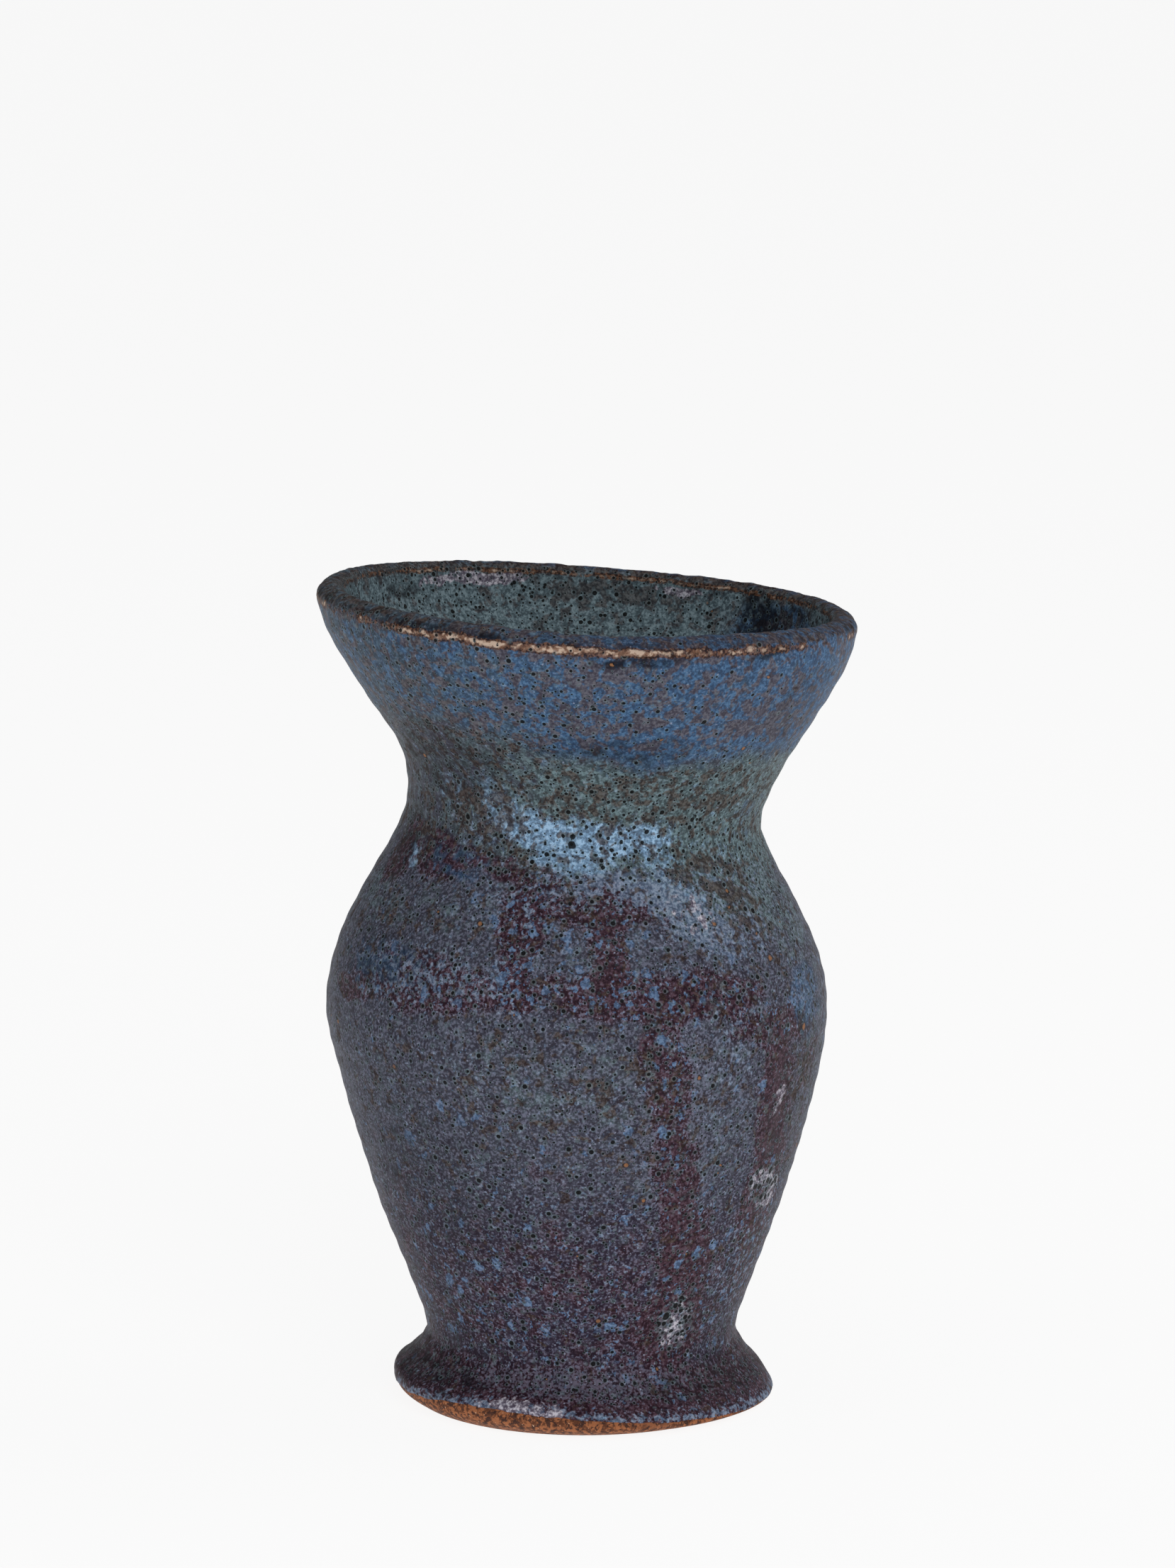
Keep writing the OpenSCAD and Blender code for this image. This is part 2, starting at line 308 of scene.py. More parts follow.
# 1 at the left side and 0 from the front to the right
at_left = step(-np.sin(np.radians(turn)), -0.17, 0.82)
cloud = noise(smooth, 14, 41, 3)
# The blue of the collar ends on an uneven line on the far sides and the back
away = step(np.abs(apart(turn, 0)), 55, 95)
back_wave = 6.0 * cloud * away + 4.0 * bump_at(turn, 148, 26)
back_wave = back_wave - 3.0 * bump_at(turn, -158, 24) + 2.0 * bump_at(turn, 100, 16)
collar = step(zone_height - 3.5 * at_left + 1.8 * bump_at(turn, 14, 26) + back_wave, 120.8, 130.6)
above_body = step(zone_height, 101, 107)
neck = above_body * (1 - collar)
body = 1 - above_body
low = 1 - step(zone_height, 24, 62)
foot = 1 - step(zone_height, 8, 14)
# The blue and teal of the upper coat, and the slate and maroon of the lower one
blue = collar * (1.10 - 0.14 * at_left)
teal = 0.16 * collar + 0.45 * collar * at_left + neck * (0.95 - 0.62 * at_left)
teal = teal + body * (0.10 + 0.25 * cloud) * (1 - 0.7 * low)
slate = body * (0.85 - 0.75 * low) + 0.8 * neck + 0.8 * collar
maroon = body * (0.14 + 0.32 * low + 0.30 * foot)
lilac = body * (0.50 - 0.12 * low) + 0.12 * collar + 0.15 * neck
brown = 0.40 * neck + body * (0.24 - 0.10 * low)
above_edge = step(climb, 2.5, 5)
pits = collar * (0.15 + 0.45 * at_left) + 0.95 * neck + (0.55 * body + 0.4 * foot) * above_edge
# Darker over the foot above the glaze's edge, and darker on the left side; the left side's darkening is
# partly painted shade
foot_dark_and_left_shade = 0.33 * foot * step(climb, 2.0, 4.5) + 0.28 * at_left**2
field = {
    "blue": outside * blue,
    "teal": outside * teal,
    "sky": 0.08 * neck * outside,
    "frost": outside * body * (0.08 + 0.10 * cloud),
    "maroon": outside * maroon,
    "lilac": outside * lilac,
    "spots": outside * body * (0.05 + 0.24 * low * (1 - foot)),
    "white": 0 * zone_height,
    "fleck": outside * collar * 0.44,
    "brown": outside * brown + 0.34 * inside,
    "pits": outside * pits + 0.95 * inside,
    "edge": 0 * zone_height,
    # Darker over the foot, on the left side (partly painted shade) and deeper inside
    "dark": outside * foot_dark_and_left_shade + inside * step(place, 25, 30) * 0.6,
    "tan": 0.12 + 0 * zone_height,
    "slate": outside * slate,
    "liner": inside,
}
# Then patches: strength, turn, ring height, half width, half height and any slant of each oval
PATCHES = {
    "sky": (
        (0.95, -3, 108.2, 7.5, 4.0), (0.55, -17, 110.8, 5, 2.8, -0.3), (0.70, 15, 110.2, 7, 2.8, 0.2),
        (0.30, 26, 105, 4, 6, -0.9), (0.40, -25, 114.0, 4, 3.6), (0.34, -33, 117, 3, 3.5),
        (0.36, -48, 116, 3, 3.5), (0.50, -62, 102, 2.2, 2.0), (0.22, 66, 80, 6.5, 4.0),
        (0.85, 158, 106, 11, 3.6, 0.1), (0.45, -176, 108.5, 6, 2.8, 0.3), (0.32, -146, 112, 3.5, 5),
        (0.28, -128, 105, 3, 4), (0.4, 108, 100, 6, 5), (0.16, 42, 104, 9, 6),
    ),
    "frost": (
        (0.50, -30, 110, 7, 3.5), (0.62, 8, 102.0, 11, 3.0), (0.72, 29, 98, 6, 5.5, -0.5),
        (0.46, -46, 83.5, 12, 4.5), (0.25, -22, 85, 8, 5), (0.25, -20, 97, 10, 4), (0.30, 62, 30, 8, 12),
        (0.20, 38, 70, 5, 14), (0.40, 45, 93, 9, 4), (0.4, 160, 100, 20, 4), (0.4, -150, 86, 20, 5),
        (0.14, -28, 104.6, 9, 2), (0.30, 46, 103, 10, 5),
    ),
    "blue": (
        (0.60, 66, 80, 7, 7), (0.55, -54, 85, 12, 3.5), (0.45, -40, 103.5, 9, 3.5), (0.40, 64, 113, 7, 5),
    ),
    "teal": (
        (1.0, 46, 104, 13, 8, -0.3), (0.35, -66, 94, 10, 4), (0.22, -36, 95, 10, 4),
        (0.18, 72, 62, 8, 20), (0.35, 29, 98, 6, 5.5, -0.5), (0.18, 2, 70, 26, 9), (0.12, 36, 62, 8, 12),
        (0.5, 160, 98, 20, 8), (0.4, -130, 94, 16, 7), (0.40, 68, 97, 10, 9),
    ),
    "maroon": (
        (0.95, -68, 104, 4, 7), (0.95, -48, 103.2, 6.5, 3.8), (0.75, -28, 104.6, 10, 1.5, 0.05),
        (0.60, -12, 102.5, 9, 1.6), (0.70, 2, 98.0, 15, 3.0), (0.95, -15, 91, 3.6, 9),
        (0.95, 6.5, 90, 3.2, 9), (0.72, 14, 83.5, 20, 3.8), (0.74, 34, 83.5, 9, 4.6),
        (0.85, 53, 76.5, 11, 3.5), (0.80, -66, 79, 6, 2.0), (0.80, -40, 83, 18, 4.5),
        (1.25, 20.5, 70, 4.2, 13, -0.12), (1.25, 25, 50, 4.2, 14, -0.16), (1.0, 33, 32, 4.6, 9),
        (1.05, 53, 64, 4.8, 13, -0.10), (1.05, 57, 45, 5.0, 11), (0.75, 63, 34, 4.5, 9),
        (0.8, 34, 20, 6.5, 8), (0.8, 116, 66, 4.5, 22), (0.85, 166, 58, 5, 26), (0.8, -124, 64, 4.5, 20),
        (0.7, 178, 84, 34, 5), (0.75, 118, 97, 9, 4), (0.75, -150, 99, 9, 4), (0.35, 66, 60, 6, 14),
    ),
    "spots": (
        (0.20, -52, 84, 12, 4), (0.60, -12, 90, 7, 10), (0.60, 6, 88, 8, 9), (0.60, 22, 83, 10, 4),
        (0.50, 54, 79, 9, 4), (0.45, 22, 66, 4, 14, -0.14), (0.5, 178, 84, 34, 6), (0.45, 116, 70, 4, 12),
        (0.2, -36, 22, 14, 8),
    ),
    "white": (
        (0.55, 55, 62, 2.2, 3.8), (0.75, 56, 46.4, 4.0, 1.5), (0.80, 64, 44, 2.0, 1.5),
        (0.72, 62, 41, 3.6, 1.5), (0.62, 35, 19.7, 3.6, 4.6), (0.7, 168, 34, 3.2, 4),
        (0.6, -122, 44, 2.6, 3.4), (0.30, 31, 97, 5, 4, -0.3),
    ),
    "brown": (
        (0.28, 44, 103, 8, 4, -0.3), (0.28, 50, 96.5, 6, 5, -0.3), (0.30, 66, 66, 5, 6),
        (0.2, 56, 33, 9, 4), (0.12, 20, 118, 22, 5), (0.22, -36, 113, 9, 4), (0.08, 0, 66, 24, 14),
    ),
    "fleck": (
        (0.10, 0, 136, 16, 7), (0.22, 48, 132, 12, 3), (0.25, -45, 127, 20, 5),
    ),
    "tan": (
        (0.6, 46, 96, 9, 7), (0.5, 58, 88, 8, 5), (0.35, 30, 55, 8, 16),
    ),
    "pits": (
        (0.9, 35, 20, 5, 6), (0.8, 58, 45, 6, 5), (0.55, -2, 136, 20, 8),
    ),
    # Dark ovals; those on the left side, at turns -34 to -68, are partly painted shade
    "dark": (
        (0.75, 11, 144.6, 8, 1.2), (0.6, 40, 144.8, 5, 1.0), (0.42, 6, 127.2, 16, 2.8),
        (0.30, 60, 134, 10, 9), (0.12, -48, 103.4, 6, 3.0), (0.28, -68, 105, 4, 6), (0.30, 68, 58, 9, 26),
        (0.25, 60, 22, 10, 14), (0.18, 53, 62, 5, 14, -0.10), (0.30, -46, 121, 14, 6),
        (0.16, -34, 48, 20, 14), (0.14, 37, 64, 8, 14), (0.12, 22, 60, 4.5, 24, -0.14),
        (0.25, -55, 85, 12, 4),
    ),
    "lilac": (
        (0.45, -2, 9, 22, 2.5), (0.25, 24, 60, 6, 20),
    ),
}
# The same on the inside
PATCHES_INSIDE = {
    # Painted highlights: white strips just under the back rim's inner edge
    "white": (
        (1.3, -154, 145.7, 8, 1.3), (0.7, -139, 145.6, 4, 1.2), (0.9, 157, 145.4, 5, 1.0),
    ),
    "dark": (
        (0.80, -128, 144.5, 5, 2.0), (1.0, 132, 142.5, 4.5, 5), (0.4, 119, 140.5, 10, 4),
        (0.5, 122, 145.0, 9, 1.2),
    ),
    "blue": (
        (1.1, 123, 141, 13, 6),
    ),
    "tan": (
        (0.9, 122, 142, 10, 4),
    ),
    "brown": (
        (0.3, 170, 144, 16, 2), (0.25, 121, 143.5, 8, 2),
    ),
}
for patches, share in ((PATCHES, outside), (PATCHES_INSIDE, inside)):
    for name, ovals in patches.items():
        soft = LOOSE if name in ("sky", "frost") else FIRM
        for strength, *oval in ovals:
            field[name] = field[name] + share * strength * patch(*oval, soft=soft)
# There is less pale speckle on the maroon
field["lilac"] = field["lilac"] - 0.50 * np.clip(field["maroon"] - 0.5, 0, 1)
# Glaze thins and breaks brown over the lip's two edges, unevenly
steps_along = np.hypot(*np.diff(sections(row_places)[:, :2], axis=0).T)
length_at = np.concatenate([[0], np.cumsum(steps_along)])
outer_edge = np.interp(AT_LIP_EDGE + 0.02, row_places, length_at)
inner_edge = np.interp(AT_LIP_INSIDE + 0.10, row_places, length_at)
uneven = 0.35 * noise(smooth, 5, 51) + 0.30 * noise(smooth, 1.6, 52)
outer_share = 0.42 + 0.58 * bump_at(turn, -4, 46)
inner_share = 0.42 + 0.30 * bump_at(turn, 165, 60)
drawn = length_at[:, None] + 0.35 * noise(smooth, 3, 53)
BARE_EDGES = ((outer_edge, outer_share, 0.95, 1.1), (inner_edge, inner_share, 0.6, 0.72))
for edge, share, width, most in BARE_EDGES:
    field["edge"] = field["edge"] + bump_over(drawn, edge, width) * np.clip(share + uneven, 0, most)
# and pools darker on the lip's top, just inside those edges
for edge, share in ((outer_edge + 1.3, 0.42), (inner_edge + 1.0, 0.34)):
    pooled = np.clip(share + 1.1 * uneven, 0, 0.9)
    field["dark"] = field["dark"] + bump_over(drawn, edge, 0.9) * pooled
past_outer = step(length_at, outer_edge, outer_edge + 1)
past_inner = step(length_at, inner_edge, inner_edge + 1)
lip_top = past_outer[:, None] * (1 - past_inner)[:, None]
field["blue"] = field["blue"] * (1 - 0.50 * lip_top)
field["brown"] = field["brown"] + (0.46 - 0.30 * bump_at(turn, 12, 45)) * lip_top
# A thin lighter line where the glaze ends above the foot, and the pale spill at the front
field["frost"] = field["frost"] + 0.52 * bump_over(climb, 0.9, 1.1)
field["sky"] = field["sky"] + 0.12 * bump_over(climb, 0.9, 1.0)
field["white"] = field["white"] + 1.15 * bump_at(turn, SPILL_TURN, 13) * bump_over(climb, 1.1, 1.5)
field = {name: np.clip(values, -0.3, 1.3) for name, values in field.items()}


def on_outside(turn, height):
    """The point of the outside at a turn and a ring height."""
    fine = np.linspace(0, AT_LIP_EDGE + 1, 4000)
    at = np.array([np.interp(height, sections(fine)[:, 1], fine)])
    return tuple(float(v) for v in surface(at, np.array([turn], float))[0])


# Turn, ring height and width of the widest craters, and then of the tan iron spots
CRATERS = (
    (-3.5, 108.5, 1.5), (-3.5, 110, 1.0), (-6.5, 110, 0.7), (-1, 110.5, 0.6), (2, 109.5, 0.6),
    (4, 107, 0.7), (-12, 108.5, 0.7), (-15, 110.5, 0.6), (12, 109.5, 0.7), (-6, 104.5, 0.6),
    (16, 107, 0.6), (-9, 106.5, 1.0), (6, 105, 0.8), (9, 108, 0.9), (-11, 102, 0.9), (0.5, 112, 0.7),
    (-40, 111, 1.0), (-39, 105.5, 0.8), (-9.5, 94, 1.0), (2, 89, 0.8), (-56, 95, 0.9), (-22, 127.5, 0.8),
    (-6, 131.5, 0.8), (-13, 29.5, 0.8), (37, 51.5, 0.9), (33, 18, 0.9), (35, 22, 1.0), (38, 17.5, 0.9),
    (36, 19.5, 0.7), (34, 24, 0.8), (57, 45.5, 0.9), (60, 43.5, 1.0), (63, 42, 0.9), (58, 40.5, 0.9),
    (54, 61, 0.8),
)
IRON_SPOTS = (
    (46, 100.5, 0.9), (44, 98, 1.0), (37, 95.5, 1.1), (51, 93, 0.9), (53, 88.5, 1.3), (58, 88.5, 0.8),
    (44, 85, 0.8), (63, 74.5, 1.3), (28.5, 68.5, 0.8), (-41, 94.5, 0.6), (18, 129.5, 0.6), (42, 141, 0.8),
    (5, 144, 0.7), (17, 45.5, 0.8), (38, 51, 0.6), (28, 11, 0.6),
)


# --- Pieces -------------------------------------------------------------------------------------------
def make_piece(name, vertices, faces, material, normals=None, fields=None):
    """A mesh object from vertices in millimetres and arrays of faces with 3 or 4 vertex numbers each."""
    mesh = bpy.data.meshes.new(name)
    sizes = np.concatenate([np.full(len(f), f.shape[1]) for f in faces])
    corners = np.concatenate([f.ravel() for f in faces])
    mesh.vertices.add(len(vertices))
    mesh.vertices.foreach_set("co", (vertices * MM).astype(np.float32).ravel())
    mesh.loops.add(len(corners))
    mesh.loops.foreach_set("vertex_index", corners.astype(np.int32))
    mesh.polygons.add(len(sizes))
    mesh.polygons.foreach_set("loop_start", (np.cumsum(sizes) - sizes).astype(np.int32))
    mesh.update(calc_edges=True)
    mesh.polygons.foreach_set("use_smooth", np.ones(len(sizes), bool))
    for key, values in (fields or {}).items():
        mesh.attributes.new(key, "FLOAT", "POINT").data.foreach_set("value", values.astype(np.float32))
    if normals is not None:
        mesh.normals_split_custom_set_from_vertices(normals.astype(np.float32))
    mesh.materials.append(material)
    piece = bpy.data.objects.new(name, mesh)
    bpy.context.scene.collection.objects.link(piece)
    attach(piece, "root")
    return piece


def quads(a, closed):
    """Quads over a grid of vertex numbers, wrapped round if closed."""
    b = np.roll(a, -1, 1) if closed else a[:, 1:]
    a = a if closed else a[:, :-1]
    return np.stack([a[:-1], b[:-1], b[1:], a[1:]], -1).reshape(-1, 4)


def border(a):
    """The loop of vertex numbers round the edge of an open grid."""
    return np.concatenate([a[0, :-1], a[:-1, -1], a[-1, :0:-1], a[:0:-1, 0]])


def rim(fine, coarse):
    """Triangles that close the gap from a fine loop to a coarse one, with COARSE fine points to a gap."""
    out = []
    for k in range(COARSE):
        near = coarse if k < COARSE // 2 else np.roll(coarse, -1)
        a, b = fine[k::COARSE], np.roll(fine, -1)[k::COARSE]
        out.append(np.stack([b, a, near], -1))
    out.append(np.stack([fine[COARSE // 2::COARSE], coarse, np.roll(coarse, -1)], -1))
    return np.concatenate(out)


# The share of its thickness that the glaze keeps where it ends at the foot
EDGE_TAPER = 0.25


def skin_piece(name, band, columns, thickness, material):
    """A closed piece of skin: the fine outer face, a coarse back face and a rim between them."""
    rows = np.arange(*band_rows[band])
    closed = columns is None
    cols = np.arange(COLUMNS) if closed else np.arange(columns[0], columns[1] + 1) % COLUMNS
    front = np.ix_(rows, cols)
    back = np.ix_(rows[::COARSE], cols[::COARSE])
    front_ids = np.arange(rows.size * cols.size).reshape(rows.size, cols.size)
    back_shape = (back[0].size, back[1].size)
    back_ids = front_ids.size + np.arange(back_shape[0] * back_shape[1]).reshape(back_shape)
    taper = np.ones(back_shape)
    if band == "lower":
        taper[0] = EDGE_TAPER
    sunk = points[back] - shading[back] * (thickness * taper)[..., None]
    vertices = np.concatenate([points[front].reshape(-1, 3), sunk.reshape(-1, 3)])
    normals = np.concatenate([shading[front].reshape(-1, 3), -shading[back].reshape(-1, 3)])
    fields = {key: np.concatenate([v[front].ravel(), v[back].ravel()]) for key, v in field.items()}
    if closed:
        # The last row's loop runs the other way round, from the same column
        front_end, back_end = (np.roll(ids[-1][::-1], 1) for ids in (front_ids, back_ids))
        rims = [rim(front_ids[0], back_ids[0]), rim(front_end, back_end)]
    else:
        rims = [rim(border(front_ids), border(back_ids))]
    faces = [quads(front_ids, closed), quads(back_ids, closed)[:, ::-1], *rims]
    return make_piece(name, vertices, faces, material, normals, fields)


def turned_piece(name, profile, columns, material):
    """A closed solid from [radius, height, lean, drift] sections, the first and last closed to a point."""
    a = np.radians(np.arange(columns) * 360.0 / columns)
    r, z, lean, drift = (np.array(profile, float)[:, k, None] for k in range(4))
    x, y = r * np.sin(a), -r * np.cos(a)
    grid = np.stack([drift + x, y, z - np.tan(np.radians(lean)) * x], -1)
    ids = np.arange(grid.shape[0] * columns).reshape(grid.shape[0], columns)
    first, last = ids.size, ids.size + 1
    vertices = np.concatenate([grid.reshape(-1, 3), grid[0].mean(0)[None], grid[-1].mean(0)[None]])
    following = np.roll(ids, -1, 1)
    caps = np.concatenate([
        np.stack([following[0], ids[0], np.full(columns, first)], -1),
        np.stack([ids[-1], following[-1], np.full(columns, last)], -1),
    ])
    return make_piece(name, vertices, [quads(ids, True), caps], material)


# --- Materials ------------------------------------------------------------------------------------------
# How much of the studio's light a facing surface sends back, per unit of colour, and the sheen over it
LIT, SHEEN = 0.84, 0.011
DARKEST = 0.002


def tint(code):
    """The surface colour that looks like a hexadecimal one under the studio's light."""
    c = [int(code[k:k + 2], 16) / 255 for k in (0, 2, 4)]
    c = [v / 12.92 if v <= 0.04045 else ((v + 0.055) / 1.055) ** 2.4 for v in c]
    return [max((v - SHEEN) / LIT, DARKEST) for v in c] + [1.0]


class Shader:
    """Builds a material's nodes. A value may be a socket or a number."""

    def __init__(self, name):
        self.material = bpy.data.materials.new(name)
        self.material.use_nodes = True
        self.tree = self.material.node_tree
        self.bsdf = self.tree.nodes["Principled BSDF"]
        # Where a spot of the surface is, in millimetres
        coords = self.tree.nodes.new("ShaderNodeTexCoord")
        self.place = self.vector("SCALE", coords.outputs["Object"], scale=1 / MM)

    def put(self, socket, value):
        if isinstance(value, bpy.types.NodeSocket):
            self.tree.links.new(value, socket)
        else:
            socket.default_value = value

    def node(self, kind, inputs, **settings):
        n = self.tree.nodes.new(kind)
        for key, value in settings.items():
            setattr(n, key, value)
        for key, value in inputs.items():
            self.put(n.inputs[key], value)
        return n

    def math(self, operation, a, b=0.0, c=0.0):
        return self.node("ShaderNodeMath", {0: a, 1: b, 2: c}, operation=operation).outputs[0]

    def times_plus(self, value, times, plus):
        return self.math("MULTIPLY_ADD", value, times, plus)

    def spread(self, value, times, plus):
        """A noise round 0.5, spread by times and set round plus."""
        return self.times_plus(self.math("SUBTRACT", value, 0.5), times, plus)

    def vector(self, operation, a, b=(0, 0, 0), scale=1.0):
        n = self.node("ShaderNodeVectorMath", {0: a, 1: b}, operation=operation)
        if operation == "SCALE":
            self.put(n.inputs["Scale"], scale)
        return n.outputs[0]

    def rise(self, value, low, high, start=0.0, end=1.0):
        """Goes smoothly from start to end as value goes from low to high."""
        inputs = {"Value": value, "From Min": low, "From Max": high, "To Min": start, "To Max": end}
        return self.node("ShaderNodeMapRange", inputs, interpolation_type="SMOOTHSTEP").outputs[0]

    def blend(self, part, a, b):
        return self.node("ShaderNodeMix", {0: part, 6: a, 7: b}, data_type="RGBA").outputs[2]

    def lay(self, under, part, colour, strength=1.0):
        """A colour over another where part is 1, at most strength thick."""
        return self.blend(self.math("MULTIPLY", part, strength), under, colour)

    def tones(self, value, dark, middle, light, low=0.42, high=0.58):
        """A colour that goes from dark over middle to light as value rises round 0.5."""
        first = self.blend(self.rise(value, low, 0.5), tint(dark), tint(middle))
        return self.blend(self.rise(value, 0.5, high), first, tint(light))

    def field(self, name):
        return self.node("ShaderNodeAttribute", {}, attribute_name=name).outputs["Fac"]

    def noise(self, size, detail=3.0, seed=0, distortion=0.0):
        """Noise with features about size across, in millimetres."""
        where = self.vector("ADD", self.place, (seed * 13.7, seed * 7.3, seed * 3.1))
        inputs = {"Vector": where, "Scale": 1 / size, "Detail": detail, "Roughness": 0.55,
                  "Distortion": distortion}
        return self.node("ShaderNodeTexNoise", inputs).outputs[0]

    def cells(self, size, seed, where=None):
        """Distance to the nearest of scattered points, as a share of size, and its two random numbers."""
        where = self.vector("ADD", where or self.place, (seed * 5.9, seed * 11.1, seed * 2.3))
        n = self.node("ShaderNodeTexVoronoi", {"Vector": where, "Scale": 1 / size})
        parts = self.node("ShaderNodeSeparateColor", {0: n.outputs["Color"]})
        return n.outputs["Distance"], parts.outputs[0], parts.outputs[1]

    def ragged(self, size, reach):
        """The place, pushed about by noise."""
        n = self.node("ShaderNodeTexNoise", {"Vector": self.place, "Scale": 1 / size, "Detail": 2.0})
        push = self.vector("SUBTRACT", n.outputs["Color"], (0.5, 0.5, 0.5))
        return self.vector("ADD", self.place, self.vector("SCALE", push, scale=reach))

    def placed(self, where, spots):
        """How many radiuses away the nearest of some listed spots is, and 1 for always there."""
        nearest = 9.0
        for spot_turn, height, width in spots:
            inputs = {0: where, 1: on_outside(spot_turn, height)}
            away = self.node("ShaderNodeVectorMath", inputs, operation="DISTANCE").outputs["Value"]
            nearest = self.math("MINIMUM", nearest, self.math("MULTIPLY", away, 2 / width))
        return nearest, 1.0

    def scattered(self, size, seed, often, least, extra, blur=(-0.02, 0.02), where=None):
        """Scattered spots, more of them where often is higher, with radiuses from least to least +
        extra as shares of size: how many radiuses away the nearest is, and 1 where it is there."""
        distance, chance, width = self.cells(size, seed, where)
        live = self.rise(self.math("SUBTRACT", often, chance), *blur)
        return self.math("DIVIDE", distance, self.times_plus(width, extra, least)), live

    def disc(self, spots, inner, outer):
        """1 inside each spot and 0 outside it, with an edge from inner to outer radiuses."""
        ratio, live = spots
        return self.math("MULTIPLY", self.rise(ratio, inner, outer, 1.0, 0.0), live)

    def cover(self, amount, texture, contrast=4.0, soft=0.12):
        """Mask that covers about amount of the surface, broken up by a texture."""
        reach = self.times_plus(amount, 1.5, -0.25)
        level = self.spread(texture, contrast, reach)
        return self.rise(level, 0.5 - soft, 0.5 + soft)

    def set_surface(self, colour, rough, height, depth, specular):
        """Sets the surface: bumps are depth deep in millimetres where height goes from 0 to 1."""
        self.put(self.bsdf.inputs["Base Color"], colour)
        self.put(self.bsdf.inputs["Roughness"], rough)
        self.bsdf.inputs["Specular IOR Level"].default_value = specular
        bump = self.node("ShaderNodeBump", {"Height": height, "Distance": depth * MM, "Strength": 1.0})
        self.put(self.bsdf.inputs["Normal"], bump.outputs[0])
        return self.material


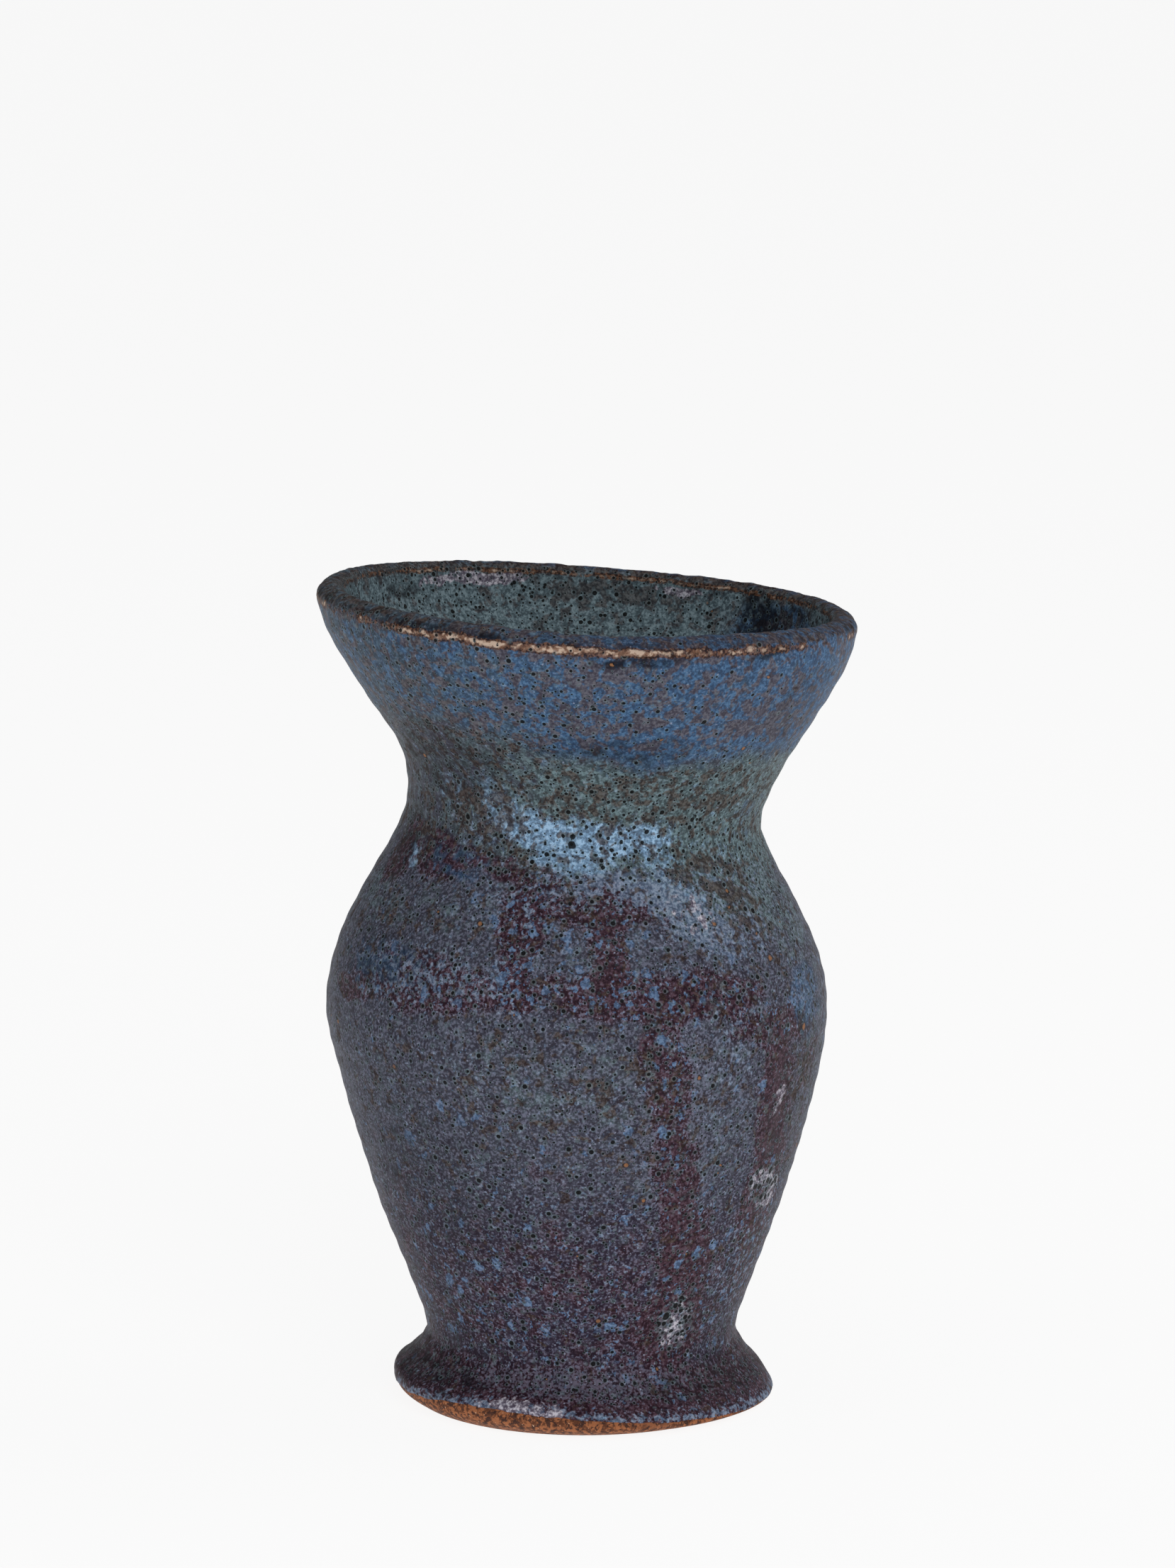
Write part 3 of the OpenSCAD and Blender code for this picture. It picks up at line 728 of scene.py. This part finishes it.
class Glaze(Shader):
    """The one glaze shader. Most methods lay one effect over the colour that they are given."""

    def __init__(self):
        super().__init__("glaze")
        self.amount = {name: self.field(name) for name in field}
        self.blotch = self.noise(5.0, 4, 2, 0.4)
        self.mottle = self.noise(2.6, 4, 3, 0.3)
        self.small = self.noise(1.1, 3, 4)
        self.fine = self.noise(0.50, 2, 5)
        self.grain = self.noise(0.26, 1, 6)
        # How light each spot of the ground is: mostly fine grain
        self.tone = self.times_plus(self.fine, 0.55, self.math("MULTIPLY", self.small, 0.45))
        # Where iron stains the glaze brown, in blotches
        self.stain = self.cover(self.amount["brown"], self.noise(2.1, 4, 8, 0.5), 3.8, 0.2)

    def share(self, name, part):
        return self.math("MULTIPLY", self.amount[name], part)

    def ground(self):
        """Purple and slate of the lower coat, with its maroon, then teal and blue of the upper one."""
        soft = self.times_plus(self.mottle, 0.25, self.math("MULTIPLY", self.tone, 0.75))
        purple = self.tones(soft, "2c2631", "37323e", "464453")
        slate = self.tones(soft, "393842", "454752", "535663")
        colour = self.blend(self.cover(self.amount["slate"], self.blotch, 2.0, 0.6), purple, slate)
        maroon = self.tones(self.tone, "2d2127", "412f37", "57444e")
        colour = self.lay(colour, self.cover(self.amount["maroon"], self.blotch, 2.2, 0.35), maroon, 0.95)
        teal = self.tones(self.tone, "424e50", "556568", "6f8589")
        colour = self.lay(colour, self.cover(self.amount["teal"], self.mottle, 2.6, 0.5), teal, 0.85)
        blue = self.tones(self.tone, "36475f", "405977", "4d6c8c")
        cool = self.tones(self.tone, "394551", "445362", "54687a")
        blue = self.blend(self.cover(self.amount["teal"], self.mottle, 3.0, 0.5), blue, cool)
        return self.blend(self.cover(self.amount["blue"], self.mottle, 2.4, 0.35), colour, blue)

    def pale_runs(self, colour):
        """Frosty grey-blue, and bright sky blue over it."""
        frost = self.tones(self.tone, "55637a", "6e7f97", "93a4ba")
        sky = self.tones(self.tone, "5c7187", "7594b2", "9dbedb")
        frosted = self.cover(self.amount["frost"], self.noise(0.95, 3, 10, 0.3), 4.2, 0.25)
        bright = self.cover(self.amount["sky"], self.noise(1.5, 4, 12, 0.3), 2.6, 0.45)
        return self.lay(self.lay(colour, frosted, frost, 0.70), bright, sky, 0.95)

    def blue_spots(self, colour):
        """Separate ragged blue spots, a little taller than wide."""
        tall = self.vector("MULTIPLY", self.ragged(1.3, 3.0), (1, 1, 0.7))
        blue = self.tones(self.tone, "46566f", "546c8c", "6c87a8")
        for size, seed, widest in ((3.0, 11, 0.42), (1.8, 12, 0.36), (1.2, 13, 0.36)):
            spots = self.scattered(size, seed, self.amount["spots"], widest * 0.4, widest * 0.6, where=tall)
            colour = self.lay(colour, self.disc(spots, 0.75, 1.05), blue, 0.85)
        return colour

    def speckle(self, colour):
        """Fine pale speckle: a lilac bloom, and small dots."""
        often = self.share("lilac", 0.75)
        colour = self.lay(colour, self.cover(often, self.fine, 3.6, 0.25), tint("7c7e93"), 0.42)
        dots = self.scattered(0.9, 21, often, 0.11, 0.10)
        return self.lay(colour, self.disc(dots, 0.8, 1.1), tint("9b9fb4"), 0.6)

    def iron_stain(self, colour):
        """Iron: faint flecks on the blue, brown blotches elsewhere."""
        flecks = self.cover(self.amount["fleck"], self.noise(2.0, 4, 7, 0.6), 3.6, 0.16)
        colour = self.lay(colour, flecks, self.tones(self.tone, "44393a", "534848", "665a56"), 0.72)
        return self.lay(colour, self.stain, self.tones(self.tone, "322927", "433934", "564b44"), 0.8)

    def lining(self, colour):
        """The liner glaze, which lets blue patches and brown blotches through."""
        lined = self.times_plus(self.amount["blue"], -0.85, self.amount["liner"])
        lined = self.math("MULTIPLY", lined, self.times_plus(self.stain, -0.7, 1.0))
        return self.lay(colour, lined, self.tones(self.tone, "4a585e", "62747b", "81949b"), 0.9)

    def white_and_painted_highlights(self, colour):
        # Pale glaze patches and the spill on the outside; on the inside the same white is painted
        # highlights
        white = self.cover(self.amount["white"], self.noise(1.8, 4, 9, 0.4), 4.6, 0.25)
        white = self.math("MULTIPLY", white, self.rise(self.amount["white"], 0.02, 0.25))
        return self.lay(colour, white, self.tones(self.tone, "5a5260", "837d89", "c4c0ca"), 0.88)

    def shade(self, colour):
        """Darker where the dark field is: where the glaze pools, over the foot and deeper inside, and on
        the left side, where it is partly painted shade.
        """
        dark = self.math("MULTIPLY", self.amount["dark"], self.spread(self.mottle, 4.0, 1.0))
        return self.lay(colour, self.rise(dark, 0.0, 1.1), tint("1b1822"), 0.85)

    def bare_lip(self, colour):
        """Bare edges of the lip: dark brown, then rust and cream in the middle."""
        bare = self.spread(self.small, 1.1, self.amount["edge"])
        rust = self.tones(self.fine, "30241f", "4d382e", "6f4f3c")
        cream = self.tones(self.small, "785c4c", "967b6b", "c4ae9c")
        colour = self.lay(colour, self.rise(bare, 0.28, 0.46), rust, 0.85)
        return self.lay(colour, self.rise(bare, 0.58, 1.0), cream, 0.88)

    def texture(self):
        """The height of the surface's fine texture, lower where iron stains it."""
        height = self.math("MULTIPLY", self.small, 0.22)
        height = self.times_plus(self.fine, 0.22, height)
        height = self.times_plus(self.grain, 0.10, height)
        return self.times_plus(self.stain, -0.10, height)

    def pinholes(self, colour, height):
        """Pinholes with paler rims, and wider craters, in the colour and in the height."""
        # The white patches on the outside are pitted where there are other pits as well
        white_pits = self.times_plus(self.amount["liner"], -1.5, self.amount["pits"])
        white_pits = self.math("SUBTRACT", self.math("ADD", self.amount["white"], white_pits), 1.0)
        pits = self.amount["pits"]
        kinds = (
            (pits, 0.8, 7, 0.30, 0.55), (pits, 1.3, 1, 0.29, 0.75), (pits, 2.0, 2, 0.24, 0.80),
            (pits, 3.6, 3, 0.15, 0.40), (white_pits, 1.6, 4, 0.46, 1.5),
        )
        holes = []
        for wanted, size, seed, widest, need in kinds:
            often = self.math("MULTIPLY", wanted, need)
            holes.append(self.scattered(size, seed, often, widest * 0.5, widest * 0.5, (0.0, 0.02)))
        holes.append(self.placed(self.ragged(0.8, 0.6), CRATERS))
        for spots in holes:
            hole = self.disc(spots, 0.80, 1.05)
            ring = self.disc(spots, 1.1, 1.9)
            colour = self.lay(colour, ring, tint("8399a0"), 0.20)
            colour = self.lay(colour, hole, tint("100e11"), 0.96)
            height = self.times_plus(hole, -0.9, self.times_plus(ring, 0.12, height))
        return colour, height

    def iron_spots(self, colour):
        """Tan iron spots with a dark ring: placed ones, and smaller scattered ones."""
        iron = [self.placed(self.ragged(0.8, 0.8), IRON_SPOTS)]
        for size, seed, radius, need in ((5.2, 5, 0.09, 0.50), (2.8, 6, 0.07, 0.35)):
            iron.append(self.scattered(size, seed, self.share("tan", need), radius, 0.0, (-0.01, 0.01)))
        for spots in iron:
            colour = self.lay(colour, self.disc(spots, 1.1, 1.6), tint("1f1b1c"), 0.6)
            colour = self.lay(colour, self.disc(spots, 0.6, 1.1), tint("92684a"), 0.85)
        return colour


def glaze_material():
    s = Glaze()
    colour = s.ground()
    effects = (s.pale_runs, s.blue_spots, s.speckle, s.iron_stain, s.lining, s.white_and_painted_highlights, s.shade,
               s.bare_lip)
    for effect in effects:
        colour = effect(colour)
    colour, height = s.pinholes(colour, s.texture())
    colour = s.iron_spots(colour)
    rough = s.times_plus(s.stain, 0.12, s.times_plus(s.fine, 0.25, 0.40))
    return s.set_surface(colour, rough, height, depth=0.2, specular=0.10)


def clay_material():
    s = Shader("fired_clay")
    wide = s.noise(6, 3, 1)
    small = s.noise(0.9, 4, 2)
    fine = s.noise(0.35, 2, 3)
    dark_spots = s.rise(s.noise(0.8, 3, 4, 0.3), 0.525, 0.575)
    pale_grains = s.rise(s.noise(0.5, 2, 5), 0.68, 0.74)
    colour = s.blend(s.rise(small, 0.42, 0.58), tint("603c2c"), tint("9f6544"))
    colour = s.lay(colour, s.rise(wide, 0.45, 0.65), tint("86563f"), 0.6)
    colour = s.lay(colour, dark_spots, tint("3a2a28"), 0.85)
    colour = s.lay(colour, pale_grains, tint("c8a184"))
    height = s.times_plus(fine, 0.5, s.math("MULTIPLY", small, 0.7))
    return s.set_surface(colour, s.times_plus(fine, 0.2, 0.68), height, depth=0.25, specular=0.3)


glaze = glaze_material()
clay = clay_material()

# --- The assembly ---------------------------------------------------------------------------------------
# How thick the glaze pieces are
COAT, LINING = 0.7, 0.6
THIRD, HALF = COLUMNS // 3, COLUMNS // 2
FRONT = HALF - THIRD // 2
SECTORS = (("front", FRONT), ("right", FRONT + THIRD), ("left", FRONT + 2 * THIRD))


def outside_sector(sector, start):
    """A third of both outside coats. The spill stands on the front of the lower one."""
    columns = (start, start + THIRD)
    piece = skin_piece(f"lower_glaze_{sector}", "lower", columns, COAT, glaze)
    if sector == "front":
        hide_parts("lower_glaze", "foot_spill")
    else:
        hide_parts("lower_glaze")
    piece = skin_piece(f"upper_glaze_{sector}", "upper", columns, COAT, glaze)
    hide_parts("upper_glaze", "glaze_runs")


def glaze_lip():
    piece = skin_piece("lip_glaze_ring", "lip", None, COAT, glaze)
    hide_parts("lip_glaze")


def liner_piece(name, band, columns):
    piece = skin_piece(name, band, columns, LINING, glaze)
    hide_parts("liner_glaze")


def bare_foot():
    """Fired clay: the bare foot with its recess, closed by a disc that the glaze pieces hide."""
    recess_r, recess_z, ring_end, join, tuck = 25.0, 1.5, 31.1, 3.2, 0.5
    under = [[r, recess_z, 0, FOOT_DRIFT] for r in np.linspace(1, recess_r - recess_z, 40)]
    under += [[r, recess_r - r, 0, FOOT_DRIFT] for r in np.linspace(recess_r - 1.2, recess_r - 0.2, 5)]
    under += [[r, 0, 0, FOOT_DRIFT] for r in np.linspace(recess_r + 0.2, ring_end, 16)]
    # The outside tucks in under the glaze
    places = np.linspace(0.04, join, 48)
    rising = sections(places)
    rising[:, 0] -= tuck * step(places, 1.6, 3.0)
    top_z, top_lean = rising[-1, 1:3]
    top = [[r, top_z, top_lean, FOOT_DRIFT] for r in (26, 20, 12, 4)]
    piece = turned_piece("clay_foot", under + rising.tolist() + top, HALF, clay)
    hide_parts("clay_body", "clay_collar")


for sector, start in SECTORS:
    outside_sector(sector, start)
glaze_lip()
for side, start in (("front", COLUMNS // 4), ("back", COLUMNS // 4 + HALF)):
    liner_piece(f"liner_glaze_{side}", "liner", (start, start + HALF))
liner_piece("liner_glaze_well", "well", None)
bare_foot()

# --- Floor, light and camera, in metres and watts -------------------------------------------------------
WHITE = (1, 1, 1, 1)
FLOOR_SIDE, FLOOR_COLOUR, FLOOR_GLOW = 60, (0.12, 0.12, 0.12, 1), 0.90
WORLD_LIGHT = 0.28
AIM = (0, 0, 0.08)
# Name, place, side and power
SOFTBOXES = (
    ("softbox_left", (-1.1, -0.5, 0.9), 0.8, 1.0),
    ("softbox_right", (1.1, 0.35, 0.7), 0.8, 2.5),
    ("softbox_front", (0.35, -1.25, 1.0), 0.9, 6.8),
)
CAMERA_PLACE, CAMERA_TILT, LENS, SENSOR = (0.00006, -1.077, 0.2996), 80.227, 137.3, 36.0


def link(name, data):
    new = bpy.data.objects.new(name, data)
    bpy.context.scene.collection.objects.link(new)
    return new


def floor_material():
    m = bpy.data.materials.new("floor")
    m.use_nodes = True
    inputs = m.node_tree.nodes["Principled BSDF"].inputs
    inputs["Base Color"].default_value = FLOOR_COLOUR
    inputs["Roughness"].default_value = 1.0
    inputs["Specular IOR Level"].default_value = 0.0
    inputs["Emission Color"].default_value = WHITE
    inputs["Emission Strength"].default_value = FLOOR_GLOW
    return m


def make_floor():
    mesh = bpy.data.meshes.new("floor")
    e = FLOOR_SIDE / 2
    mesh.from_pydata([(-e, -e, 0), (e, -e, 0), (e, e, 0), (-e, e, 0)], [], [(0, 1, 2, 3)])
    mesh.materials.append(floor_material())
    link("floor", mesh)


def light_world():
    world = bpy.data.worlds.new("studio")
    world.use_nodes = True
    bpy.context.scene.world = world
    background = world.node_tree.nodes["Background"]
    background.inputs["Color"].default_value = WHITE
    background.inputs["Strength"].default_value = WORLD_LIGHT


def softbox(name, where, side, power):
    light = bpy.data.lights.new(name, "AREA")
    light.shape, light.size, light.energy = "SQUARE", side, power
    box = link(name, light)
    box.location = where
    box.rotation_euler = (Vector(AIM) - Vector(where)).to_track_quat("-Z", "Y").to_euler()


def place_camera():
    data = bpy.data.cameras.new("camera")
    data.lens = LENS
    data.sensor_width = SENSOR
    camera = link("camera", data)
    camera.location = CAMERA_PLACE
    camera.rotation_euler = (math.radians(CAMERA_TILT), 0, 0)
    bpy.context.scene.camera = camera


make_floor()
light_world()
for name, where, side, power in SOFTBOXES:
    softbox(name, where, side, power)
place_camera()
bpy.context.scene.view_settings.view_transform = "Standard"
